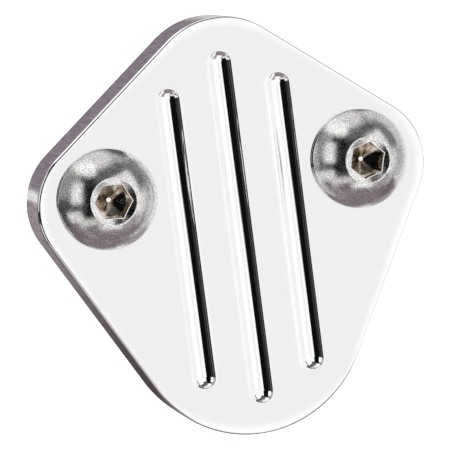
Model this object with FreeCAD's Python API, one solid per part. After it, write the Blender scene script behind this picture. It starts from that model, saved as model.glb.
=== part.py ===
import FreeCAD, Part
import os
from math import acos, atan2, cos, hypot, pi, radians, sin, sqrt, tan

from FreeCAD import Vector

# Two-bolt block-off plate, all sizes in millimetres.
#
# The plate stands upright as it is bolted to an engine: +Z is up, the polished face looks along
# -Y, and the shanks of the screws run along +Y into the engine. The origin is midway between
# the screws, on the rear face of the gasket, which is the plane of the engine's mounting pad.

# --- Screws: 3/8-16 UNC x 1 in button head socket cap screws --------------------------------
bolt_spacing = 45.72          # 1.800 in between the screw axes
thread_major_d = 9.525        # 3/8 in
neck_d = 9.40                 # plain neck inside the plate and gasket, before the thread starts
screw_length = 25.4           # under the head
shank_end_chamfer = 1.1
head_d = 17.46
head_height = 5.03
head_rim_height = 0.80        # straight side of the head, below the dome
head_top_d = 8.10             # where the dome meets the countersink round the socket
socket_flats = 5.62           # takes a 7/32 in key
socket_depth = 2.75           # of the hexagon, below the head's top
socket_tip_r = 0.40           # flat at the bottom of the drilled point
countersink_slope = 22.0      # degrees from the plane of the head's top
left_socket_turn = -5.0       # degrees, a corner of the hexagon against +X
right_socket_turn = 15.0

# --- Plate: 3/8 in billet, a rounded kite ---------------------------------------------------
plate_t = 9.525
side_round = (23.4, -1.1, 11.7)     # x, z and radius of the round at each side
top_round = (0.0, 14.2, 14.0)
bottom_round = (0.0, -24.1, 21.2)
front_edge_radius = 0.40
rear_edge_chamfer = 0.30
bolt_clearance_d = 10.32            # 13/32 in drill

# --- Three decorative grooves, cut along Z with a ball end mill ------------------------------
groove_cutter_r = 2.38              # 3/16 in ball
groove_width = 3.90                 # at the face
groove_pitch = 9.95
side_groove_ends = (-35.5, 17.1)    # lowest and highest z of the mouth
middle_groove_ends = (-39.8, 22.2)

# --- Gasket: the plate's outline, drawn in a little, with a window for the pump opening ------
gasket_t = 0.80
gasket_inset = 0.5
gasket_window = ((0.0, 6.0, 10.0), (0.0, -23.0, 14.0))   # upper and lower rounds of the window

plate_rear = -gasket_t
plate_front = plate_rear - plate_t


def hull_wire(rounds, y):
    """Closed wire round a ring of circles, given anticlockwise as (x, z, radius).

    Each pair of neighbours is joined by the straight line that touches both on the outside.
    """
    count = len(rounds)
    normals = []
    for i in range(count):
        (xa, za, ra), (xb, zb, rb) = rounds[i], rounds[(i + 1) % count]
        along = atan2(zb - za, xb - xa)
        normals.append(along - acos((ra - rb) / hypot(xb - xa, zb - za)))

    def on_round(i, angle):
        x, z, r = rounds[i % count]
        return Vector(x + r * cos(angle), y, z + r * sin(angle))

    edges = []
    for i in range(count):
        start, end = on_round(i, normals[i]), on_round(i + 1, normals[i])
        edges.append(Part.LineSegment(start, end).toShape())
        first, last = normals[i], normals[(i + 1) % count]
        while last < first:
            last += 2 * pi
        edges.append(Part.Arc(end, on_round(i + 1, (first + last) / 2), on_round(i + 1, last)).toShape())
    return Part.Wire(edges)


def kite(y, inset=0.0):
    """Outline of the plate in the plane of the given y, drawn in by inset all round."""
    xs, zs, rs = side_round
    ring = [(xs, zs, rs), top_round, (-xs, zs, rs), bottom_round]
    return hull_wire([(x, z, r - inset) for x, z, r in ring], y)


def slab(wire, thickness):
    """Solid between the wire's plane and a plane that much further towards the engine."""
    return Part.Face(wire).extrude(Vector(0, thickness, 0))


def edges_in_plane(shape, y):
    """The edges of a shape that lie wholly in the plane of the given y."""
    return [e for e in shape.Edges if abs(e.BoundBox.YMin - y) < 1e-6 and abs(e.BoundBox.YMax - y) < 1e-6]


def groove_cutter(x, ends):
    """Path of the ball end mill for one groove: a round bar with ball ends, just off the face."""
    stand_off = sqrt(groove_cutter_r ** 2 - (groove_width / 2) ** 2)
    y = plate_front - stand_off
    low, high = ends[0] + groove_width / 2, ends[1] - groove_width / 2
    bar = Part.makeCylinder(groove_cutter_r, high - low, Vector(x, y, low), Vector(0, 0, 1))
    for z in (low, high):
        bar = bar.fuse(Part.makeSphere(groove_cutter_r, Vector(x, y, z)))
    return bar


def bolt_holes(y, thickness):
    """The two clearance holes, as cutters that run a little past both faces."""
    return [
        Part.makeCylinder(bolt_clearance_d / 2, thickness + 2, Vector(x, y - 1, 0), Vector(0, 1, 0))
        for x in (-bolt_spacing / 2, bolt_spacing / 2)
    ]


def make_plate():
    plate = slab(kite(plate_front), plate_t)
    plate = plate.makeFillet(front_edge_radius, edges_in_plane(plate, plate_front))
    plate = plate.makeChamfer(rear_edge_chamfer, edges_in_plane(plate, plate_rear))
    for hole in bolt_holes(plate_front, plate_t):
        plate = plate.cut(hole)
    grooves = ((-groove_pitch, side_groove_ends), (0.0, middle_groove_ends), (groove_pitch, side_groove_ends))
    for x, ends in grooves:
        plate = plate.cut(groove_cutter(x, ends))
    return plate


def make_gasket():
    gasket = slab(kite(plate_rear, gasket_inset), gasket_t)
    window = slab(hull_wire(gasket_window, plate_rear - 1), gasket_t + 2)
    for cutter in bolt_holes(plate_rear, gasket_t) + [window]:
        gasket = gasket.cut(cutter)
    return gasket


def socket_cutter(turn):
    """Hexagonal key socket with a drilled point below it and a shallow countersink at its mouth."""
    corner_r = socket_flats / sqrt(3)
    top = plate_front - head_height
    corners = []
    for k in range(7):
        angle = radians(turn + 60 * k)
        corners.append(Vector(corner_r * cos(angle), top - 1, corner_r * sin(angle)))
    hexagon = slab(Part.makePolygon(corners), socket_depth + 1)
    floor_y = top + socket_depth
    flat_r = socket_flats / 2
    point_depth = (flat_r - socket_tip_r) * tan(radians(30))
    point = Part.makeCone(flat_r, socket_tip_r, point_depth, Vector(0, floor_y, 0), Vector(0, 1, 0))
    mouth_r = head_top_d / 2
    mouth_depth = mouth_r * tan(radians(countersink_slope))
    mouth = Part.makeCone(mouth_r, 0, mouth_depth, Vector(0, top, 0), Vector(0, 1, 0))
    return hexagon.fuse([point, mouth])


def make_screw(x, turn):
    """Button head screw on the axis at x: half its section, turned about the axis."""
    head_r, top_r, shank_r, neck_r = head_d / 2, head_top_d / 2, thread_major_d / 2, neck_d / 2
    seat, top = plate_front, plate_front - head_height
    tip = seat + screw_length
    # The dome is part of a sphere through the top of the rim and the edge of the countersink.
    rim_y = seat - head_rim_height
    fall = head_height - head_rim_height
    centre_drop = (head_r ** 2 - top_r ** 2 - fall ** 2) / (2 * fall)
    dome_r = hypot(head_r, centre_drop)
    centre_y = rim_y + centre_drop
    mid = (atan2(centre_y - rim_y, head_r) + atan2(centre_y - top, top_r)) / 2
    on_dome = Vector(dome_r * cos(mid), centre_y - dome_r * sin(mid), 0)

    outline = [
        Part.LineSegment(Vector(0, tip, 0), Vector(shank_r - shank_end_chamfer, tip, 0)),
        Part.LineSegment(
            Vector(shank_r - shank_end_chamfer, tip, 0), Vector(shank_r, tip - shank_end_chamfer, 0)
        ),
        Part.LineSegment(Vector(shank_r, tip - shank_end_chamfer, 0), Vector(shank_r, 0, 0)),
        Part.LineSegment(Vector(shank_r, 0, 0), Vector(neck_r, 0, 0)),
        Part.LineSegment(Vector(neck_r, 0, 0), Vector(neck_r, seat, 0)),
        Part.LineSegment(Vector(neck_r, seat, 0), Vector(head_r, seat, 0)),
        Part.LineSegment(Vector(head_r, seat, 0), Vector(head_r, rim_y, 0)),
        Part.Arc(Vector(head_r, rim_y, 0), on_dome, Vector(top_r, top, 0)),
        Part.LineSegment(Vector(top_r, top, 0), Vector(0, top, 0)),
        Part.LineSegment(Vector(0, top, 0), Vector(0, tip, 0)),
    ]
    half_section = Part.Face(Part.Wire([edge.toShape() for edge in outline]))
    screw = half_section.revolve(Vector(0, 0, 0), Vector(0, 1, 0), 360)
    screw = screw.cut(socket_cutter(turn))
    screw.translate(Vector(x, 0, 0))
    return screw


pieces = {
    "plate": make_plate(),
    "gasket": make_gasket(),
    "left_screw": make_screw(-bolt_spacing / 2, left_socket_turn),
    "right_screw": make_screw(bolt_spacing / 2, right_socket_turn),
}

os.makedirs("parts", exist_ok=True)
for name, shape in pieces.items():
    solids = shape.Solids
    assert len(solids) == 1 and solids[0].isValid(), name
    solids[0].exportStep("parts/" + name + ".step")
    box = solids[0].optimalBoundingBox()
    print(
        "%-12s volume %8.1f mm3   x %.2f..%.2f  y %.2f..%.2f  z %.2f..%.2f"
        % (name, solids[0].Volume, box.XMin, box.XMax, box.YMin, box.YMax, box.ZMin, box.ZMax)
    )
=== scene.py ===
from math import acos, atan2, cos, hypot, pi, radians, sin, sqrt, tan

import bpy
from mathutils import Matrix, Vector
from mathutils.geometry import delaunay_2d_cdt


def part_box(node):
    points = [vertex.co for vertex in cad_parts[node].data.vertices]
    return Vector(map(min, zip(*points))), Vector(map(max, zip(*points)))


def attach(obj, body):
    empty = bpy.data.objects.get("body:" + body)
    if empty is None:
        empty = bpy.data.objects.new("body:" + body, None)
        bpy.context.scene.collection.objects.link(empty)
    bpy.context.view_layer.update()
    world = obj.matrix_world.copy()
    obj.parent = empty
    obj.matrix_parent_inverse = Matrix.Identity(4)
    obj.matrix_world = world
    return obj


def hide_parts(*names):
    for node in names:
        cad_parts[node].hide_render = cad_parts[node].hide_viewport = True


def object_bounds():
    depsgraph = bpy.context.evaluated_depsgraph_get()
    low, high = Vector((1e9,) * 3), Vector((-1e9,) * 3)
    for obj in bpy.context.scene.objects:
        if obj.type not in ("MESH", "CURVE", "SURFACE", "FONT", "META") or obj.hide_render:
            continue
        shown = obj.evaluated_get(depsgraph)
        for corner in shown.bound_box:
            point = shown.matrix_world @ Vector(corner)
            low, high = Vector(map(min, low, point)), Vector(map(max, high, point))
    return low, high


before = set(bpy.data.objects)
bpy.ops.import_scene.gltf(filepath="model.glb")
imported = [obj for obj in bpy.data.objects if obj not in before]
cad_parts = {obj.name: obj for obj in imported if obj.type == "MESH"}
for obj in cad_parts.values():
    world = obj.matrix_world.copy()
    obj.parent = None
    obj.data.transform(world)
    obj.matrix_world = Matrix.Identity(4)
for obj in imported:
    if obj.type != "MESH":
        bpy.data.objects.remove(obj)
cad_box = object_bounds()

# Polished two-bolt block-off plate. Shapes are written in millimetres and turned into metres
# when their mesh is made. Y runs from the polished face (front, low Y) to the engine (high Y).
MM = 0.001


def in_mm(corner):
    return corner.x / MM, corner.y / MM, corner.z / MM


plate_low, plate_high = (in_mm(c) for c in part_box("plate"))
_, gasket_high = (in_mm(c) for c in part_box("gasket"))
head_low, head_high = (in_mm(c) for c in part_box("right_screw"))

FRONT, REAR = plate_low[1], plate_high[1]
BOLT_X = (head_low[0] + head_high[0]) / 2
HEAD_R = (head_high[0] - head_low[0]) / 2
HEAD_TOP, SHANK_TIP = head_low[1], head_high[1]

# Outline of the plate: rounds given as x, z and radius.
SIDE_R, TOP_R, BOTTOM_R = 11.7, 14.0, 21.2
SIDE_X, SIDE_Z = plate_high[0] - SIDE_R, -1.1
OUTLINE = [
    (SIDE_X, SIDE_Z, SIDE_R),
    (0.0, plate_high[2] - TOP_R, TOP_R),
    (-SIDE_X, SIDE_Z, SIDE_R),
    (0.0, plate_low[2] + BOTTOM_R, BOTTOM_R),
]
OUTLINE_STEP = radians(2.5)
EDGE_R = 0.56             # rounded front edge
EDGE_ROLL = (2.2, 0.060)  # width and depth of the face's roll-off from buffing, beside the edge
EDGE_STEPS = 8
REAR_BREAK = 0.30
HOLE_R = 5.16
HOLE_STEPS = 72

# Grooves: x, lowest and highest z of the mouth.
GROOVE_PITCH = 9.95
GROOVES = [(-GROOVE_PITCH, -35.5, 17.1), (0.0, -39.8, 22.2), (GROOVE_PITCH, -35.5, 17.1)]
GROOVE_HALF = 1.95
BALL_R = 2.38             # of the ball end mill
BALL_STEPS = 14
LIP_R = 0.32              # rounding where a groove meets the face
LIP_ROLL = (1.6, 0.060)   # the same roll-off beside a groove
LIP_STEPS = 6
END_STEPS = 24            # round each end of a groove

# Heads of the screws.
AROUND = 144              # points round a head, a whole number for each flat of its socket
DOME_TOP_R = 4.05         # where the dome would meet the countersink, before softening
DOME_STEPS = 40
DOME_SHORT = 0.02         # radians by which the dome stops short of the rim
CREST_SOFTEN = 0.16       # how far the rounding reaches to either side of that meeting
CREST_RISE = 0.035        # how far the crest's middle stands above the line between its ends
CREST_STEPS = 6
RIM_H = 0.80
RIM_BREAK = 0.02          # from the dome to the rim's side
RIM_ROUND = 0.12          # how much of the rim's side is rounded off at each end
RIM_STEPS = 4
COUNTERSINK = radians(22)

# Their sockets.
SOCKET_FLATS = 5.62
SOCKET_DEPTH = 2.75
SOCKET_TIP_R = 0.40       # flat at the bottom of the drilled point
SOCKET_LIP = 0.07
SOCKET_LIP_RISE = 0.02
LIP_LEANS = ((0.8, 0.0), (0.0, -0.45))  # towards the axis, on the lip's inner and outer side
DRILL_SHARE = 0.97        # the drill's radius against half the flats
POINT_SLOPE = radians(30)

# Their shanks.
NECK_R = 4.70
THREAD_R = 4.76
THREAD_PITCH = 25.4 / 16
THREAD_DEPTH = 0.6134 * THREAD_PITCH    # of a UNC thread
THREAD_ROOT = 1 / 16      # half the flat at the thread's root, in pitches
THREAD_FLANK = 5 / 16     # width of a flank, in pitches
THREAD_START = gasket_high[1] - 1.2     # it fades in over one pitch from here
THREAD_ROWS = 20          # rows of points for each pitch
TIP_BEVEL = 1.1

# Material slots besides 0, which is the plate's polish and a screw's plain steel.
WALL = 1
KEYED, BRIGHT = 1, 2


# --- Mesh helpers ----------------------------------------------------------------------------

class Skin:
    """A closed mesh collected face by face, with the exact normal at every corner."""

    WELD = 20000    # points that round to the same 1/20000 mm are one vertex

    def __init__(self):
        self.verts, self.index, self.faces, self.normals, self.slots = [], {}, [], [], []

    def vert(self, p):
        key = tuple(round(value * self.WELD) for value in p)
        if key not in self.index:
            self.index[key] = len(self.verts)
            self.verts.append((p[0] * MM, p[1] * MM, p[2] * MM))
        return self.index[key]

    def face(self, points, normals, slot=0):
        """Add a face without its repeated corners, wound to agree with its normals."""
        ids, kept, corners = [], [], []
        for p, n in zip(points, normals):
            i = self.vert(p)
            if i not in ids:
                ids.append(i)
                kept.append(n)
                corners.append(Vector(p))
        if len(ids) < 3:
            return
        across = Vector((0, 0, 0))
        for k in range(1, len(corners) - 1):
            across += (corners[k] - corners[0]).cross(corners[k + 1] - corners[0])
        lean = sum((Vector(n) for n in kept), Vector((0, 0, 0)))
        if across.dot(lean) < 0:
            ids.reverse()
            kept.reverse()
        self.faces.append(ids)
        self.normals.extend(kept)
        self.slots.append(slot)

    def band(self, ring_a, ring_b, normals_a, normals_b, slot=0):
        """Quads between two closed rings of the same number of points."""
        n = len(ring_a)
        for i in range(n):
            j = (i + 1) % n
            self.face(
                (ring_a[i], ring_a[j], ring_b[j], ring_b[i]),
                (normals_a[i], normals_a[j], normals_b[j], normals_b[i]),
                slot,
            )

    def build(self, name, materials):
        mesh = bpy.data.meshes.new(name)
        mesh.from_pydata(self.verts, [], self.faces)
        for m in materials:
            mesh.materials.append(m)
        mesh.polygons.foreach_set("material_index", self.slots)
        mesh.polygons.foreach_set("use_smooth", [True] * len(self.faces))
        mesh.normals_split_custom_set([Vector(n).normalized() for n in self.normals])
        mesh.update()
        obj = bpy.data.objects.new(name, mesh)
        bpy.context.scene.collection.objects.link(obj)
        return obj


def hull(rounds):
    """Samples (round, direction) along a ring of circles joined by their outer tangents."""
    count, leave = len(rounds), []
    for i in range(count):
        (xa, za, ra), (xb, zb, rb) = rounds[i], rounds[(i + 1) % count]
        along = atan2(zb - za, xb - xa)
        leave.append(along - acos((ra - rb) / hypot(xb - xa, zb - za)))
    samples = []
    for i in range(count):
        first, last = leave[i - 1], leave[i]
        while last < first:
            last += 2 * pi
        pieces = max(2, int((last - first) / OUTLINE_STEP))
        for k in range(pieces + 1):
            samples.append((rounds[i], first + (last - first) * k / pieces))
    return samples


def ring_of(samples, inset, y):
    """The samples' curve drawn in by inset, in the plane of the given y."""
    return [(x + (r - inset) * cos(t), y, z + (r - inset) * sin(t)) for (x, z, r), t in samples]


def leaning(samples, out, back):
    """Normals that point outward by out and towards the engine by back."""
    size = hypot(out, back)
    return [(out / size * cos(t), back / size, out / size * sin(t)) for _, t in samples]


def sweep(skin, samples, profile):
    """Bands along a profile of (inset, depth, out, forward). Returns its first and last ring."""
    placed = [
        (ring_of(samples, inset, FRONT + depth), leaning(samples, out, -forward))
        for inset, depth, out, forward in profile
    ]
    for (ring_a, normals_a), (ring_b, normals_b) in zip(placed, placed[1:]):
        skin.band(ring_a, ring_b, normals_a, normals_b)
    return placed[0][0], placed[-1][0]


def fill_flat(skin, rings, inside, facing, slot=0):
    """Triangles over the flat region that rings of one plane bound, where inside is true.

    inside takes a point as (x, z); facing is the y of the region's normal, 1 or -1.
    """
    corners, edges = [], []
    for ring in rings:
        start, n = len(corners), len(ring)
        corners += ring
        edges += [(start + k, start + (k + 1) % n) for k in range(n)]
    points = [Vector((p[0], p[2])) for p in corners]
    verts, _, tris, sources, *_ = delaunay_2d_cdt(points, edges, [], 0, 1e-7)
    for tri in tris:
        a, b, c = (verts[i] for i in tri)
        if inside((a + b + c) / 3):
            skin.face([corners[sources[i][0]] for i in tri], [(0, facing, 0)] * 3, slot)


def within_hull(samples, inset):
    """A test whether a point (x, z) lies inside the samples' curve drawn in by inset."""
    ring = [Vector((p[0], p[2])) for p in ring_of(samples, inset, 0)]

    def test(q):
        return all((b - a).cross(q - a) > -1e-9 for a, b in zip(ring, ring[1:] + ring[:1]))

    return test


# --- Node helpers ----------------------------------------------------------------------------

class Nodes:
    """Short names for the few node set-ups that the materials and the light share."""

    def __init__(self, tree):
        self.tree = tree

    def new(self, kind, inputs=None, **settings):
        node = self.tree.nodes.new(kind)
        for key, value in settings.items():
            setattr(node, key, value)
        for key, value in (inputs or {}).items():
            self.put(node.inputs[key], value)
        return node

    def put(self, socket, value):
        if isinstance(value, bpy.types.NodeSocket):
            self.tree.links.new(value, socket)
        else:
            socket.default_value = value

    def math(self, operation, a, b=0.0, c=0.0):
        node = self.new("ShaderNodeMath", operation=operation)
        for socket, value in zip(node.inputs, (a, b, c)):
            self.put(socket, value)
        return node.outputs[0]

    def smooth(self, value, low, high, out_low=0.0, out_high=1.0):
        """Smooth step from out_low to out_high as value goes from low to high."""
        spans = {"From Min": low, "From Max": high, "To Min": out_low, "To Max": out_high}
        node = self.new(
            "ShaderNodeMapRange", {"Value": value, **spans}, interpolation_type="SMOOTHSTEP"
        )
        return node.outputs["Result"]

    def noise(self, vector, scale, detail=2.0, rough=0.5):
        inputs = {"Vector": vector, "Scale": scale, "Detail": detail, "Roughness": rough}
        return self.new("ShaderNodeTexNoise", inputs).outputs["Fac"]

    def stretch(self, vector, scale):
        node = self.new("ShaderNodeMapping", {"Vector": vector, "Scale": scale})
        return node.outputs["Vector"]

    def mix(self, factor, a, b):
        node = self.new("ShaderNodeMix", data_type="RGBA")
        self.put(node.inputs[0], factor)
        self.put(node.inputs[6], a)
        self.put(node.inputs[7], b)
        return node.outputs[2]

    def bump(self, height, strength, distance):
        inputs = {"Height": height, "Strength": strength, "Distance": distance}
        return self.new("ShaderNodeBump", inputs).outputs["Normal"]


def node_material(name, metallic=1.0):
    """A new node material: its helper, its shader and the object's own coordinates."""
    mat = bpy.data.materials.new(name)
    mat.use_nodes = True
    nodes = Nodes(mat.node_tree)
    shader = mat.node_tree.nodes["Principled BSDF"]
    shader.inputs["Metallic"].default_value = metallic
    place = nodes.new("ShaderNodeTexCoord").outputs["Object"]
    return mat, nodes, shader, place


# --- Materials -------------------------------------------------------------------------------

def polished_aluminium():
    mat, n, shader, place = node_material("polished_aluminium")
    haze = n.noise(place, 60.0, 3.0)
    lines = n.noise(n.stretch(place, (900.0, 900.0, 60.0)), 1.0, 4.0, 0.6)
    colour = n.mix(haze, (0.93, 0.93, 0.935, 1), (0.95, 0.95, 0.955, 1))
    n.put(shader.inputs["Base Color"], colour)
    n.put(shader.inputs["Roughness"], n.smooth(lines, 0.3, 0.8, 0.035, 0.07))
    n.put(shader.inputs["Normal"], n.bump(lines, 0.02, 0.00002))
    return mat


def milled_aluminium():
    """The plate's side wall: less bright, with fine marks that run across its thickness."""
    mat, n, shader, place = node_material("milled_aluminium")
    marks = n.noise(n.stretch(place, (1900.0, 160.0, 1900.0)), 1.0, 4.0, 0.7)
    cloud = n.noise(place, 220.0, 3.0)
    colour = n.mix(n.smooth(marks, 0.3, 0.7), (0.52, 0.50, 0.52, 1), (0.99, 0.98, 0.99, 1))
    n.put(shader.inputs["Base Color"], colour)
    n.put(shader.inputs["Roughness"], n.smooth(cloud, 0.3, 0.7, 0.10, 0.18))
    n.put(shader.inputs["Normal"], n.bump(marks, 0.25, 0.00004))
    return mat


def stainless():
    mat, n, shader, place = node_material("stainless_steel")
    grain = n.noise(place, 5200.0, 2.0, 0.6)
    cloud = n.noise(place, 650.0, 4.0, 0.65)
    colour = n.mix(n.smooth(grain, 0.36, 0.64), (0.46, 0.452, 0.448, 1), (0.99, 0.98, 0.97, 1))
    n.put(shader.inputs["Base Color"], colour)
    n.put(shader.inputs["Roughness"], n.smooth(cloud, 0.3, 0.7, 0.13, 0.24))
    n.put(shader.inputs["Normal"], n.bump(grain, 0.5, 0.00002))
    return mat


def socket_steel():
    """The broached key socket: dull, with a brown trace of forming oil."""
    mat, n, shader, place = node_material("socket_steel")
    streaks = n.noise(n.stretch(place, (3000.0, 250.0, 3000.0)), 1.0, 3.0, 0.6)
    cloud = n.noise(place, 900.0, 3.0)
    colour = n.mix(n.smooth(cloud, 0.35, 0.65), (0.34, 0.27, 0.20, 1), (0.74, 0.69, 0.60, 1))
    n.put(shader.inputs["Base Color"], colour)
    n.put(shader.inputs["Roughness"], n.smooth(streaks, 0.3, 0.7, 0.08, 0.18))
    n.put(shader.inputs["Normal"], n.bump(streaks, 0.25, 0.00003))
    return mat


def cut_steel():
    """Bright steel: the socket's raised lip and the flat that the drill's point left."""
    mat, n, shader, place = node_material("cut_steel")
    marks = n.noise(place, 4000.0, 2.0, 0.6)
    n.put(shader.inputs["Base Color"], n.mix(marks, (0.90, 0.90, 0.89, 1), (0.99, 0.99, 0.98, 1)))
    n.put(shader.inputs["Roughness"], n.smooth(marks, 0.3, 0.7, 0.08, 0.16))
    n.put(shader.inputs["Normal"], n.bump(marks, 0.1, 0.00001))
    return mat


def gasket_paper():
    mat, n, shader, place = node_material("gasket_paper", 0.0)
    fibres = n.noise(n.stretch(place, (1800.0, 3600.0, 700.0)), 1.0, 5.0, 0.7)
    specks = n.noise(place, 2500.0, 2.0)
    colour = n.mix(fibres, (0.10, 0.085, 0.065, 1), (0.27, 0.23, 0.17, 1))
    n.put(shader.inputs["Base Color"], colour)
    n.put(shader.inputs["Roughness"], n.smooth(specks, 0.2, 0.8, 0.75, 0.95))
    n.put(shader.inputs["Normal"], n.bump(fibres, 0.4, 0.00006))
    return mat


# --- Plate -----------------------------------------------------------------------------------

def edge_profile():
    """From the flat of the face out to the wall: the roll-off, then the rounded edge."""
    width, depth = EDGE_ROLL
    profile = []
    for k in range(EDGE_STEPS + 1):
        f = k / EDGE_STEPS
        profile.append((EDGE_R + width * (1 - f), depth * f * f, 2 * depth * f / width, 1.0))
    start = atan2(2 * depth / width, 1.0)
    for k in range(1, EDGE_STEPS + 1):
        t = start + (pi / 2 - start) * k / EDGE_STEPS
        profile.append((EDGE_R * (1 - sin(t)), depth + EDGE_R * (1 - cos(t)), sin(t), cos(t)))
    return profile


def groove_profile():
    """From a groove's middle line out to the flat of the face: ball, lip, roll-off."""
    stand_off = sqrt(BALL_R ** 2 - GROOVE_HALF ** 2)
    lip_x = sqrt((BALL_R + LIP_R) ** 2 - (stand_off + LIP_R) ** 2)
    lip_slope = atan2(lip_x, stand_off + LIP_R)
    width, depth = LIP_ROLL
    profile = []
    for k in range(BALL_STEPS + 1):
        t = lip_slope * k / BALL_STEPS
        profile.append((-BALL_R * sin(t), BALL_R * cos(t) - stand_off + depth, -sin(t), cos(t)))
    end = atan2(2 * depth / width, 1.0)
    for k in range(1, LIP_STEPS + 1):
        t = lip_slope + (end - lip_slope) * k / LIP_STEPS
        profile.append((LIP_R * sin(t) - lip_x, LIP_R * (1 - cos(t)) + depth, -sin(t), cos(t)))
    for k in range(1, LIP_STEPS + 1):
        f = 1 - k / LIP_STEPS
        profile.append((-lip_x - width * (1 - f), depth * f * f, -2 * depth * f / width, 1.0))
    return profile


def make_plate():
    skin = Skin()
    outline = hull(OUTLINE)

    # Face's edge, side wall and rear break.
    face_ring, wall_low = sweep(skin, outline, edge_profile())
    wall_high = ring_of(outline, 0, REAR - REAR_BREAK)
    rear_ring = ring_of(outline, REAR_BREAK, REAR)
    wall_n, break_n = leaning(outline, 1, 0), leaning(outline, 1, 1)
    skin.band(wall_low, wall_high, wall_n, wall_n, WALL)
    skin.band(wall_high, rear_ring, break_n, break_n, WALL)

    # Grooves: the profile swept round each one's middle line, given by the centres of its ends.
    profile = groove_profile()
    reach = -profile[-1][0]
    mouths, middles = [], []
    for x, low, high in GROOVES:
        low, high = low + GROOVE_HALF, high - GROOVE_HALF
        turns = [pi * k / END_STEPS for k in range(END_STEPS + 1)]
        path = [((x, low, 0.0), pi + t) for t in turns] + [((x, high, 0.0), t) for t in turns]
        mouths.append(sweep(skin, path, profile)[1])
        middles.append((x, low, high))

    # Bolt holes.
    front_holes, rear_holes = [], []
    for x in (-BOLT_X, BOLT_X):
        circle = [((x, 0.0, HOLE_R), 2 * pi * k / HOLE_STEPS) for k in range(HOLE_STEPS)]
        inward = leaning(circle, -1, 0)
        front_holes.append(ring_of(circle, 0, FRONT))
        rear_holes.append(ring_of(circle, 0, REAR))
        skin.band(front_holes[-1], rear_holes[-1], inward, inward, WALL)

    # Flat of the face and flat of the rear.
    in_front = within_hull(outline, EDGE_R + EDGE_ROLL[0])
    in_rear = within_hull(outline, REAR_BREAK)

    def clear_of_holes(q):
        nearest = HOLE_R * cos(pi / HOLE_STEPS)
        return all(hypot(q.x - x, q.y) > nearest for x in (-BOLT_X, BOLT_X))

    def clear_of_grooves(q):
        nearest = reach * cos(pi / (2 * END_STEPS))
        return all(
            hypot(q.x - x, q.y - min(max(q.y, low), high)) > nearest for x, low, high in middles
        )

    fill_flat(
        skin,
        [face_ring] + mouths + front_holes,
        lambda q: in_front(q) and clear_of_holes(q) and clear_of_grooves(q),
        -1,
    )
    fill_flat(skin, [rear_ring] + rear_holes, lambda q: in_rear(q) and clear_of_holes(q), 1, WALL)
    return skin.build("polished_plate", [POLISHED, MILLED])


# --- Screws ----------------------------------------------------------------------------------

class Axis:
    """Rings of points and of normals about a screw's axis, from a corner of its socket on."""

    def __init__(self, x, turn):
        self.x, self.turn = x, turn
        self.angles = [turn + 2 * pi * k / AROUND for k in range(AROUND)]

    def point(self, r, y, t):
        return (self.x + r * cos(t), y, r * sin(t))

    def circle(self, r, y):
        return [self.point(r, y, t) for t in self.angles]

    def hexagon(self, apothem, level):
        """A ring on the sides of a hexagon; level gives a point's y from its radius."""
        ring = []
        for t in self.angles:
            r = apothem / cos((t - self.turn) % (pi / 3) - pi / 6)
            ring.append(self.point(r, level(r), t))
        return ring

    def normals(self, out, back):
        size = hypot(out, back)
        return [(out / size * cos(t), back / size, out / size * sin(t)) for t in self.angles]


def sink_y(r):
    """Level of the countersink at a distance from the axis."""
    return HEAD_TOP + (DOME_TOP_R - r) * tan(COUNTERSINK)


def towards_axis(side, share):
    """A forward normal at that side of the axis, with that share towards the axis."""
    return (-cos(side) * share, -sqrt(1 - share * share), -sin(side) * share)


def add_socket(skin, axis):
    """Drilled point with a small flat, six flats and a raised lip. Returns the lip's last ring."""
    apothem = SOCKET_FLATS / 2
    drill_r = apothem * DRILL_SHARE
    floor_y = HEAD_TOP + SOCKET_DEPTH
    tip_y = floor_y + (drill_r - SOCKET_TIP_R) * tan(POINT_SLOPE)
    tip, drilled = axis.circle(SOCKET_TIP_R, tip_y), axis.circle(drill_r, floor_y)
    floor = axis.hexagon(apothem, lambda r: floor_y)
    flat_n = axis.normals(0, -1)
    point_n = axis.normals(-sin(POINT_SLOPE), -cos(POINT_SLOPE))
    skin.band(axis.circle(0, tip_y), tip, flat_n, flat_n, BRIGHT)
    skin.band(tip, drilled, point_n, point_n, KEYED)
    skin.band(drilled, floor, flat_n, flat_n, KEYED)

    lip = [
        axis.hexagon(apothem + wide, lambda r: sink_y(r) + low)
        for wide, low in ((0, SOCKET_LIP), (SOCKET_LIP, -SOCKET_LIP_RISE), (2 * SOCKET_LIP, 0))
    ]
    for i in range(AROUND):
        j = (i + 1) % AROUND
        side = axis.turn + (i // (AROUND // 6) + 0.5) * pi / 3
        skin.face((floor[i], floor[j], lip[0][j], lip[0][i]), [towards_axis(side, 1)] * 4, KEYED)
        for low, high, (lean_low, lean_high) in zip(lip, lip[1:], LIP_LEANS):
            n_low, n_high = towards_axis(side, lean_low), towards_axis(side, lean_high)
            skin.face((low[i], low[j], high[j], high[i]), (n_low, n_low, n_high, n_high), BRIGHT)
    return lip[-1]


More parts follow.
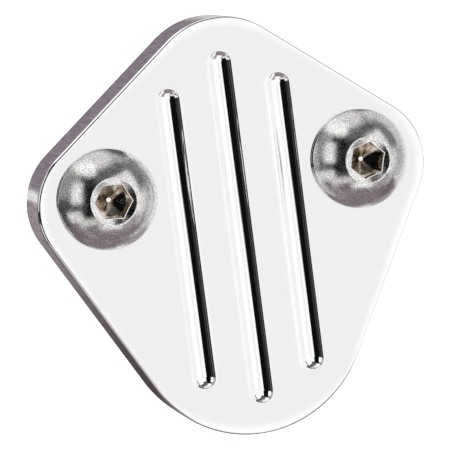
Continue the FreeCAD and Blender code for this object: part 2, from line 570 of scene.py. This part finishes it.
def add_head(skin, axis, lip_ring):
    """Countersink, rounded crest, dome, rim and seat."""
    # The dome is part of a sphere through the top of the rim and the countersink's edge.
    fall = FRONT - HEAD_TOP - RIM_H
    drop = (HEAD_R ** 2 - DOME_TOP_R ** 2 - fall ** 2) / (2 * fall)
    dome_r = hypot(HEAD_R, drop)
    centre_y = FRONT - RIM_H + drop
    crest_t = atan2(DOME_TOP_R, centre_y - HEAD_TOP) + CREST_SOFTEN / dome_r
    rim_t = atan2(HEAD_R, drop)

    # Each ring is a radius, a level and the lean of its normal, 0 for forward, pi / 2 for out.
    sink_end = DOME_TOP_R - CREST_SOFTEN
    rings = [(sink_end, sink_y(sink_end), -COUNTERSINK)]
    for k in range(1, CREST_STEPS):
        f = k / CREST_STEPS
        r = sink_end + (dome_r * sin(crest_t) - sink_end) * f
        level = sink_y(sink_end) * (1 - f) + (centre_y - dome_r * cos(crest_t)) * f
        lean = -COUNTERSINK + (crest_t + COUNTERSINK) * f
        rings.append((r, level - CREST_RISE * sin(pi * f), lean))
    for k in range(DOME_STEPS + 1):
        t = crest_t + (rim_t - DOME_SHORT - crest_t) * k / DOME_STEPS
        rings.append((dome_r * sin(t), centre_y - dome_r * cos(t), t))
    rings.append((HEAD_R - RIM_BREAK, FRONT - RIM_H + RIM_BREAK, (rim_t + pi / 2) / 2))
    rings.append((HEAD_R, FRONT - RIM_H + RIM_ROUND, pi / 2))
    for k in range(RIM_STEPS + 1):
        t = pi / 2 * k / RIM_STEPS
        r = HEAD_R - RIM_ROUND * (1 - cos(t))
        rings.append((r, FRONT - RIM_ROUND * (1 - sin(t)), pi / 2 + t))

    placed = [(axis.circle(r, y), axis.normals(sin(t), -cos(t))) for r, y, t in rings]
    sink_n, seat_n = axis.normals(-sin(COUNTERSINK), -cos(COUNTERSINK)), axis.normals(0, 1)
    skin.band(lip_ring, placed[0][0], sink_n, sink_n)
    for (ring_a, normals_a), (ring_b, normals_b) in zip(placed, placed[1:]):
        skin.band(ring_a, ring_b, normals_a, normals_b)
    skin.band(placed[-1][0], axis.circle(NECK_R, FRONT), seat_n, seat_n)


def add_shank(skin, axis):
    """Plain neck, then a helical thread that fades in and ends in the tip's bevel."""
    neck, neck_n = axis.circle(NECK_R, THREAD_START), axis.normals(1, 0)
    skin.band(axis.circle(NECK_R, FRONT), neck, neck_n, neck_n)

    def radius(y, t):
        if y <= THREAD_START:
            return NECK_R
        pitches = (y - THREAD_START) / THREAD_PITCH
        phase = (pitches + (t - axis.turn) / (2 * pi)) % 1.0
        up = min(max((abs(phase - 0.5) - THREAD_ROOT) / THREAD_FLANK, 0.0), 1.0)
        cut = (1 - up) * min(pitches, 1.0)
        bevel = THREAD_R - TIP_BEVEL + max(SHANK_TIP - y, 0.0)
        return min(THREAD_R - THREAD_DEPTH * cut, bevel)

    rows = int((SHANK_TIP - THREAD_START) / THREAD_PITCH * THREAD_ROWS)
    levels = [THREAD_START + (SHANK_TIP - THREAD_START) * k / rows for k in range(rows + 1)]

    def normal(y, t):
        if not levels[0] < y < levels[-1]:
            return (cos(t), 0.0, sin(t))
        d = 0.02
        return (cos(t), -(radius(y + d, t) - radius(y - d, t)) / (2 * d), sin(t))

    # The thread has half the points of the neck round it.
    angles = axis.angles[::2]
    half = len(angles)
    grid = [[axis.point(radius(y, t), y, t) for t in angles] for y in levels]
    leans = [[normal(y, t) for t in angles] for y in levels]
    for k in range(rows):
        skin.band(grid[k], grid[k + 1], leans[k], leans[k + 1])

    # Join the neck's ring to the thread's first, then close the tip.
    start, tip = grid[0], grid[-1]
    for i in range(half):
        a, b, c = neck[2 * i], neck[2 * i + 1], neck[(2 * i + 2) % AROUND]
        skin.face((a, b, c, start[(i + 1) % half], start[i]), [(0, 1, 0)] * 5)
    for i in range(half):
        skin.face((tip[i], tip[(i + 1) % half], (axis.x, SHANK_TIP, 0)), [(0, 1, 0)] * 3)


def make_screw(name, axis_x, turn, body, node):
    """Button head screw, its socket turned by turn, in place of node and riding on body."""
    skin, axis = Skin(), Axis(axis_x, turn)
    add_head(skin, axis, add_socket(skin, axis))
    add_shank(skin, axis)
    screw = skin.build(name, [STEEL, SOCKET, CUT])
    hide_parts(node)
    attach(screw, body)


POLISHED, MILLED = polished_aluminium(), milled_aluminium()
STEEL, SOCKET, CUT, PAPER = stainless(), socket_steel(), cut_steel(), gasket_paper()

plate = make_plate()
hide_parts("plate")
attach(plate, "cover")

make_screw("button_head_left", -BOLT_X, radians(-5), "left_bolt", "left_screw")
make_screw("button_head_right", BOLT_X, radians(15), "right_bolt", "right_screw")

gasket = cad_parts["gasket"]
for slot in gasket.material_slots:
    slot.material = PAPER


# --- Floor, backdrop and light ---------------------------------------------------------------

def plain_white(name, strength):
    mat, n, shader, place = node_material(name, 0.0)
    tone = n.noise(place, 3.0, 2.0)
    n.put(shader.inputs["Base Color"], n.mix(tone, (0.93, 0.93, 0.93, 1), (0.96, 0.96, 0.96, 1)))
    shader.inputs["Roughness"].default_value = 0.9
    shader.inputs["Emission Color"].default_value = (1, 1, 1, 1)
    shader.inputs["Emission Strength"].default_value = strength
    return mat


def studio():
    """A white floor just below the plate and a white sphere round everything.

    Neither lights the part or shows in its reflections: the soft boxes below do both.
    """
    floor_z = cad_box[0][2] - 0.012
    bpy.ops.mesh.primitive_circle_add(
        vertices=96, radius=6.0, fill_type="NGON", location=(0, 0, floor_z)
    )
    floor = bpy.context.object
    floor.name = "floor"
    bpy.ops.mesh.primitive_uv_sphere_add(segments=64, ring_count=32, radius=8.0, location=(0, 0, 0))
    backdrop = bpy.context.object
    backdrop.name = "backdrop"
    for piece, strength in ((floor, 0.9), (backdrop, 1.1)):
        piece.data.materials.append(plain_white(piece.name + "_white", strength))
        piece.visible_diffuse = False
        piece.visible_glossy = False
        piece.visible_shadow = False


# Soft boxes seen by the metal. Azimuth runs from the face's normal towards the camera's side
# (-X), elevation up from level; each entry is middle and half width of both, the softness of
# its edges in degrees, and its colour.
SOFT_BOXES = [
    # overhead; the key light high on the camera's side; one behind it; a dim one opposite
    ((0, 190), (92, 28), 18, (0.86, 0.85, 0.84)),
    ((66, 48), (64, 14), 8, (1.25, 1.25, 1.24)),
    ((130, 34), (46, 16), 12, (0.95, 0.95, 0.95)),
    ((-95, 25), (58, 9), 8, (0.50, 0.50, 0.50)),
    # the room behind the plate, with the strip that glints in its side wall
    ((180, 68), (14, 20), 12, (0.27, 0.23, 0.26)),
    ((180, 68), (-22, 15), 4, (0.075, 0.062, 0.066)),
    ((180, 40), (-8, 7), 3, (0.34, 0.30, 0.31)),
    ((166, 14), (0, 2), 2, (0.95, 0.95, 0.95)),
    ((-120, 30), (-20, 26), 8, (0.90, 0.90, 0.90)),
    ((-130, 36), (20, 40), 8, (0.75, 0.75, 0.75)),
    # grey panels beside the camera
    ((88, 26), (28, 24), 6, (0.36, 0.36, 0.36)),
    ((92, 16), (-6, 12), 4, (0.08, 0.08, 0.08)),
    ((64, 5), (-6, 6), 4, (0.04, 0.04, 0.04)),
    ((63, 12), (17, 19), 5, (1.10, 1.10, 1.10)),
    ((74, 17), (-25, 10), 5, (0.95, 0.95, 0.95)),
    # dark above the white card, grey to bright past its far side
    ((-20, 42), (48, 10), 8, (0.13, 0.14, 0.14)),
    ((-82, 12), (27, 24), 8, (0.20, 0.21, 0.21)),
    ((-95, 14), (-12, 16), 6, (0.55, 0.55, 0.55)),
    ((-73, 11), (-14, 17), 8, (0.90, 0.90, 0.90)),
    # table top and what lies on it
    ((0, 190), (-45, 12), 4, (0.20, 0.165, 0.18)),
    ((0, 190), (-80, 24), 6, (0.27, 0.225, 0.245)),
    ((74, 10), (-58, 16), 8, (0.38, 0.345, 0.36)),
    ((48, 27), (-39, 7), 6, (0.80, 0.79, 0.79)),
    ((-74, 12), (-38, 8), 8, (0.65, 0.64, 0.64)),
    # the white card the face mirrors, then what lies along its lower edge
    ((-30, 39), (-13, 42), 2, (1.06, 1.06, 1.06)),
    ((0, 15), (-24, 16), 4, (1.06, 1.06, 1.06)),
    ((-46, 23), (-5, 46), 3, (1.06, 1.06, 1.06)),
    ((-15, 8), (-8, 8), 4, (0.93, 0.92, 0.92)),
    ((-8, 34), (-54, 6), 3, (1.15, 1.15, 1.15)),
    ((-54, 19), (-44, 13), 8, (0.42, 0.39, 0.405)),
]
DARK = (0.004, 0.005, 0.005, 1)


def light():
    world = bpy.data.worlds.new("studio_light")
    bpy.context.scene.world = world
    world.use_nodes = True
    n = Nodes(world.node_tree)
    way = n.new("ShaderNodeTexCoord").outputs["Generated"]
    split = n.new("ShaderNodeSeparateXYZ", {"Vector": way})
    x, y, z = split.outputs
    to_side, to_front = n.math("MULTIPLY", x, -1), n.math("MULTIPLY", y, -1)
    azimuth = n.math("DEGREES", n.math("ARCTAN2", to_side, to_front))
    elevation = n.math("DEGREES", n.math("ARCSINE", z))
    colour = DARK
    for (az, az_half), (el, el_half), soft, tint in SOFT_BOXES:
        off = n.math("ABSOLUTE", n.math("WRAP", n.math("SUBTRACT", azimuth, az), 180, -180))
        across = n.smooth(off, az_half - soft / 2, az_half + soft / 2, 1.0, 0.0)
        off = n.math("ABSOLUTE", n.math("SUBTRACT", elevation, el))
        upward = n.smooth(off, el_half - soft / 2, el_half + soft / 2, 1.0, 0.0)
        colour = n.mix(n.math("MULTIPLY", across, upward), colour, tint + (1,))
    background = world.node_tree.nodes["Background"]
    n.put(background.inputs["Color"], colour)
    background.inputs["Strength"].default_value = 1.0


def camera():
    """The photograph's view, found by fitting the plate's outline, grooves and screw heads."""
    azimuth, elevation, roll = radians(15.41), radians(7.87), radians(-7.38)
    distance = 0.450
    target = Vector((-2.79 * MM, FRONT * MM, -7.70 * MM))
    out = Vector((-sin(azimuth) * cos(elevation), -cos(azimuth) * cos(elevation), sin(elevation)))
    data = bpy.data.cameras.new("camera")
    data.sensor_width = 36
    data.lens = 208.28
    data.clip_start = 0.01
    data.clip_end = 50
    cam = bpy.data.objects.new("camera", data)
    bpy.context.scene.collection.objects.link(cam)
    side = (-out).cross(Vector((0, 0, 1))).normalized()
    up = side.cross(-out)
    right = side * cos(roll) + up * sin(roll)
    above = -side * sin(roll) + up * cos(roll)
    turn = Matrix((right, above, out)).transposed().to_4x4()
    cam.matrix_world = Matrix.Translation(target + out * distance) @ turn
    bpy.context.scene.camera = cam


studio()
light()
camera()
bpy.context.scene.view_settings.view_transform = "Standard"
